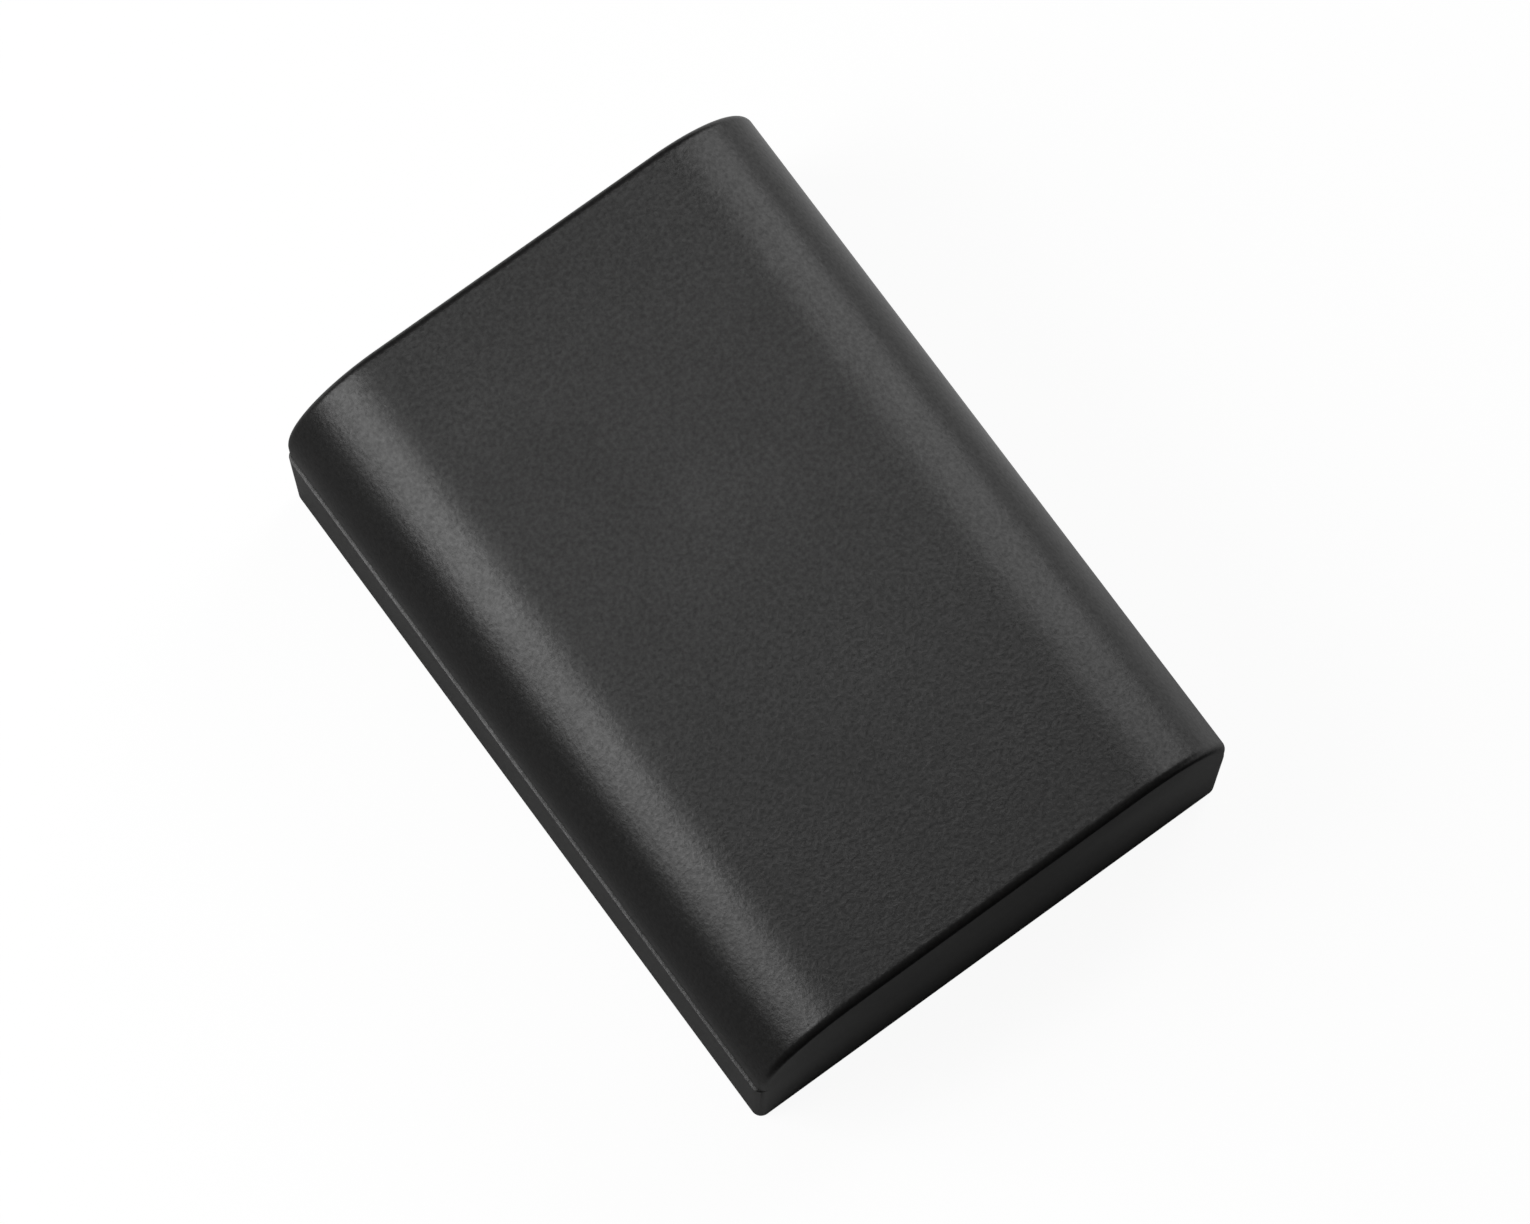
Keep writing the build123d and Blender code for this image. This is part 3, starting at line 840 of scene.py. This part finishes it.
def add_piece(name, mesh, material, slot, *nodes):
    """A finished piece that stands for CAD nodes and rides on the pack."""
    piece = bpy.data.objects.new(name, mesh)
    bpy.context.scene.collection.objects.link(piece)
    mesh.materials.clear()
    mesh.materials.append(material)
    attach(piece, "root")
    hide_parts(*nodes)
    return piece


def dress(material, *nodes):
    """Give CAD nodes that keep their shape a better material."""
    for node in nodes:
        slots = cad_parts[node].material_slots
        if not slots:
            raise RuntimeError(f"{node} has no material slot")
        for slot in slots:
            slot.material = material


class BATTERY_OT_upper_case(bpy.types.Operator):
    """Build the upper moulding with its two long rounds"""

    bl_idname = "battery.upper_case"
    bl_label = "Upper case"

    def execute(self, context):
        shape = context.scene.battery_case
        finish = context.scene.battery_finish
        size = case_sizes(shape)
        mesh = case_mesh("upper_case_moulding", upper_case_sections(shape, size), case_layout(shape, size))
        smooth_but_edges(mesh)
        material = moulded_plastic("upper_plastic_grain", finish.upper_colour, finish)
        add_piece("upper_case_moulding", mesh, material, "upper_plastic", "upper_case")
        return {"FINISHED"}


class BATTERY_OT_lower_case(bpy.types.Operator):
    """Build the lower moulding with its ledge, tongue, cradles, rails and contact windows"""

    bl_idname = "battery.lower_case"
    bl_label = "Lower case"

    def execute(self, context):
        shape = context.scene.battery_case
        finish = context.scene.battery_finish
        size = case_sizes(shape)
        tray = case_mesh("lower_case_tray", lower_case_sections(shape, size), case_layout(shape, size))
        inside = cradle_grids(shape, size) + rail_grids(shape, size)
        mesh = joined_and_cut(tray, inside, window_grids(shape, size))
        smooth_but_edges(mesh)
        material = moulded_plastic("lower_plastic_grain", finish.lower_colour, finish)
        add_piece("lower_case_moulding", mesh, material, "lower_plastic", "lower_case")
        return {"FINISHED"}


class BATTERY_OT_contacts(bpy.types.Operator):
    """Plate the four contacts"""

    bl_idname = "battery.contacts"
    bl_label = "Contacts"

    def execute(self, context):
        dress(gold_plating("contact_gold", context.scene.battery_finish), *CONTACTS)
        return {"FINISHED"}


class BATTERY_OT_cells(bpy.types.Operator):
    """Build the two sleeved cells, which lie opposite ways round"""

    bl_idname = "battery.cells"
    bl_label = "Cells"

    def execute(self, context):
        shape = context.scene.battery_cell
        material = cell_sleeve("cell_sleeve_and_ends", context.scene.battery_finish)
        for node, forward in (("cell_left", True), ("cell_right", False)):
            name = node + "_sleeved"
            add_piece(name, cell_mesh(name, shape, node, forward), material, "cell_sleeve", node)
        return {"FINISHED"}


class BATTERY_OT_strips(bpy.types.Operator):
    """Finish the nickel strips"""

    bl_idname = "battery.strips"
    bl_label = "Nickel strips"

    def execute(self, context):
        material = rolled_nickel("strip_nickel", context.scene.battery_finish)
        dress(material, "series_link", "positive_tab", "negative_tab")
        return {"FINISHED"}


class BATTERY_OT_board(bpy.types.Operator):
    """Finish the circuit board and the parts on it"""

    bl_idname = "battery.board"
    bl_label = "Board and its parts"

    chip_height: length("Chip body", 3.0, "Height of a chip's moulded body between its leads")
    cap_width: length("End cap", 0.35, "Width of a small part's tinned end")

    def execute(self, context):
        finish = context.scene.battery_finish
        dress(board_laminate("board_green", finish), "circuit_board")
        for node in ("control_chip", "power_switch"):
            dress(self.chip_finish(node, finish), node)
        for node, copies in (("fuse", 1), ("thermistor", 1), ("capacitors", 2), ("resistors", 3)):
            dress(self.end_capped_finish(node, copies, finish), node)
        return {"FINISHED"}

    def chip_finish(self, node, finish):
        """Epoxy body between two rows of tinned leads."""
        middle = middle_and_half(node)[0].z
        reach = self.chip_height / 2

        def leads(make):
            away = make.math("ABSOLUTE", make.math("SUBTRACT", make.axis("Z"), middle))
            return make.math("GREATER_THAN", away, reach)

        return tinned_part(node + "_body_and_leads", finish, finish.epoxy_colour, leads)

    def end_capped_finish(self, node, copies, finish):
        """Ceramic body with tinned ends.

        Copies in a row are twice as wide as high and share one mask that repeats at their pitch."""
        low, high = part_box(node)
        width = high.x - low.x
        part = 2 * (high.z - low.z) if copies > 1 else width
        pitch = (width - part) / (copies - 1) if copies > 1 else 2 * width
        half = part / 2
        first = low.x + half

        def ends(make):
            along = make.math("SUBTRACT", make.axis("X"), first)
            wrapped = make.math("WRAP", along, pitch / 2, -pitch / 2)
            return make.math("GREATER_THAN", make.math("ABSOLUTE", wrapped), half - self.cap_width)

        return tinned_part(node + "_body_and_ends", finish, finish.ceramic_colour, ends)


class BATTERY_OT_insulation(bpy.types.Operator):
    """Finish the paper rings and sheets"""

    bl_idname = "battery.insulation"
    bl_label = "Insulation"

    def execute(self, context):
        material = insulating_paper("insulating_paper_fibres", context.scene.battery_finish)
        dress(material, "insulator_ring_left", "insulator_ring_right")
        dress(material, "end_insulator", "plain_end_insulator")
        return {"FINISHED"}


class BATTERY_OT_foam_pads(bpy.types.Operator):
    """Build the foam pads that hold the cells down"""

    bl_idname = "battery.foam_pads"
    bl_label = "Foam pads"

    def execute(self, context):
        shape = context.scene.battery_case
        pad = context.scene.battery_pad
        size = case_sizes(shape)
        material = closed_cell_foam("foam_cells", context.scene.battery_finish)
        for node in ("foam_pad_left", "foam_pad_right"):
            name = node + "_pressed"
            piece = add_piece(name, foam_mesh(name, node, pad, size, shape), material, "foam", node)
        return {"FINISHED"}


class BATTERY_OT_stage(bpy.types.Operator):
    """Set up the camera, the lamps and the pale floor"""

    bl_idname = "battery.stage"
    bl_label = "Stage"

    def execute(self, context):
        studio = context.scene.battery_studio
        scene = context.scene
        scene.view_settings.view_transform = "Standard"
        self.add_camera(scene, studio)
        for name in ("key", "side", "top"):
            self.add_lamp(scene, studio, name)
        self.add_floor(scene, studio)
        self.add_world(scene, studio)
        return {"FINISHED"}

    def add_camera(self, scene, studio):
        """A camera on a circle round the pack, with the photograph's framing."""
        azimuth = studio.azimuth
        elevation = studio.elevation
        back = Vector(
            (
                math.sin(azimuth) * math.cos(elevation),
                -math.cos(azimuth) * math.cos(elevation),
                math.sin(elevation),
            )
        )
        level_right = Vector((math.cos(azimuth), math.sin(azimuth), 0.0))
        level_up = back.cross(level_right)
        right = math.cos(studio.roll) * level_right + math.sin(studio.roll) * level_up
        up = back.cross(right)
        data = bpy.data.cameras.new("camera")
        data.sensor_fit = "HORIZONTAL"
        data.sensor_width = SENSOR_WIDTH
        pixels_per_metre = studio.pixels_per_millimetre / MILLIMETRE
        data.lens = SENSOR_WIDTH * pixels_per_metre * studio.distance / PHOTO_WIDTH
        data.shift_x = -studio.offset_right / PHOTO_WIDTH
        data.shift_y = studio.offset_down / PHOTO_WIDTH
        data.clip_start = studio.distance / 100
        camera = bpy.data.objects.new("camera", data)
        place = Vector((0.0, 0.0, studio.aim_height)) + back * studio.distance
        camera.matrix_world = Matrix.Translation(place) @ Matrix((right, up, back)).transposed().to_4x4()
        scene.collection.objects.link(camera)
        scene.camera = camera

    def add_lamp(self, scene, studio, name):
        """A rectangular lamp that faces the pack.

        Its energy is level times distance squared times pi squared, so a level of 1 shows white as white."""
        towards = Vector(getattr(studio, name + "_direction")).normalized()
        distance = getattr(studio, name + "_distance")
        data = bpy.data.lights.new(name + "_lamp", "AREA")
        data.shape = "RECTANGLE"
        data.size = getattr(studio, name + "_width")
        data.size_y = getattr(studio, name + "_height")
        data.energy = getattr(studio, name + "_level") * math.pi**2 * distance**2
        lamp = bpy.data.objects.new(name + "_lamp", data)
        place = Vector((0.0, 0.0, studio.aim_height)) + towards * distance
        lamp.matrix_world = Matrix.Translation(place) @ towards.to_track_quat("Z", "Y").to_matrix().to_4x4()
        scene.collection.objects.link(lamp)

    def add_floor(self, scene, studio):
        """A wide pale floor that shows near white and still takes the pack's shadow.

        In reflections it shows a painted reflection: painted light to the right and behind, painted shade to
        the left and the darkest painted shade in front, with a little painted light left beside the near
        end."""
        half = studio.floor_size / 2
        line = np.array([-half, 0.0, half])
        x, y = np.meshgrid(line, line, indexing="ij")
        points = np.stack([x, y, np.full_like(x, -studio.floor_gap)], axis=-1)
        mesh = mesh_from_grids("floor", [(points, False)])
        make = Finisher("pale_floor")
        path = make.add("ShaderNodeLightPath").outputs
        mirrored = make.math("MAXIMUM", path["Is Glossy Ray"], path["Is Transmission Ray"])
        # Painted reflection: glossy rays see the floor brighten towards the right and behind
        across = make.math("MULTIPLY", make.axis("X"), math.cos(studio.glow_turn))
        along = make.math("MULTIPLY", make.axis("Y"), math.sin(studio.glow_turn))
        painted_reflection_fade = make.span(make.math("ADD", across, along), 0.0, 1.0, studio.glow_from, studio.glow_to)
        lit = make.math("MULTIPLY", mirrored, painted_reflection_fade)
        dim = make.math("SUBTRACT", mirrored, lit)
        # Painted shade in reflections: the floor further out in front is darkened, and beside the near end a
        # little painted light is added
        back = make.span(make.axis("Y"), 0.0, 1.0, -studio.front_from, -studio.front_to)
        near_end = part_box("lower_case")[0].y
        foot = make.span(make.axis("Y"), 1.0, studio.foot_white, -studio.front_to, near_end)
        painted_dim_reflection_tone = make.shades(back, studio.floor_colour, studio.front_paint, studio.dim_paint)
        tone = make.mix(dim, studio.floor_colour, painted_dim_reflection_tone)
        paint = make.add("ShaderNodeBsdfDiffuse", {"Color": tone}).outputs[0]
        glow = make.add("ShaderNodeEmission", {"Strength": studio.floor_white}).outputs[0]
        # Painted light: the bright side of the floor glows white for glossy rays only, and the front glows
        # faintly
        seen = make.math("MAXIMUM", path["Is Camera Ray"], make.math("MULTIPLY", lit, studio.glow_level))
        front = make.math("MULTIPLY", make.math("MULTIPLY", back, foot), studio.front_white)
        front_white = make.math("MULTIPLY", dim, front)
        white = make.math("MAXIMUM", make.math("MULTIPLY", seen, studio.floor_glow), front_white)
        both = make.add("ShaderNodeMixShader", {0: white, 1: paint, 2: glow}).outputs[0]
        make.add("ShaderNodeOutputMaterial", {"Surface": both})
        mesh.materials.append(make.material)
        floor = bpy.data.objects.new("floor", mesh)
        scene.collection.objects.link(floor)

    def add_world(self, scene, studio):
        """Dim even light from all round."""
        world = bpy.data.worlds.new("studio_world")
        world.use_nodes = True
        background = world.node_tree.nodes["Background"]
        background.inputs["Color"].default_value = (1.0, 1.0, 1.0, 1.0)
        background.inputs["Strength"].default_value = studio.world_level
        scene.world = world


class BATTERY_PT_pack(bpy.types.Panel):
    """Sidebar panel that lists the build steps and their sizes"""

    bl_idname = "BATTERY_PT_pack"
    bl_label = "Camera battery"
    bl_space_type = "VIEW_3D"
    bl_region_type = "UI"
    bl_category = "Battery"

    def draw(self, context):
        for step in STEPS:
            self.layout.operator(step.bl_idname)
        for name in GROUPS:
            group = getattr(context.scene, name)
            box = self.layout.box()
            for key in group.bl_rna.properties.keys():
                if key not in ("rna_type", "name"):
                    box.prop(group, key)


STEPS = (
    BATTERY_OT_upper_case,
    BATTERY_OT_lower_case,
    BATTERY_OT_contacts,
    BATTERY_OT_cells,
    BATTERY_OT_strips,
    BATTERY_OT_board,
    BATTERY_OT_insulation,
    BATTERY_OT_foam_pads,
    BATTERY_OT_stage,
)
GROUPS = {
    "battery_case": CaseShape,
    "battery_cell": CellShape,
    "battery_pad": PadShape,
    "battery_finish": Finish,
    "battery_studio": Studio,
}
CLASSES = (*GROUPS.values(), *STEPS, BATTERY_PT_pack)


def register():
    """Add the classes and hang the property groups on the scene."""
    for item in CLASSES:
        bpy.utils.register_class(item)
    for name, group in GROUPS.items():
        setattr(bpy.types.Scene, name, PointerProperty(type=group))


def unregister():
    """Take the property groups and the classes away again."""
    for name in GROUPS:
        delattr(bpy.types.Scene, name)
    for item in reversed(CLASSES):
        bpy.utils.unregister_class(item)


def main():
    """Build every piece and the stage."""
    register()
    bpy.ops.battery.upper_case()
    bpy.ops.battery.lower_case()
    bpy.ops.battery.contacts()
    bpy.ops.battery.cells()
    bpy.ops.battery.strips()
    bpy.ops.battery.board()
    bpy.ops.battery.insulation()
    bpy.ops.battery.foam_pads()
    bpy.ops.battery.stage()


if __name__ == "__main__":
    main()
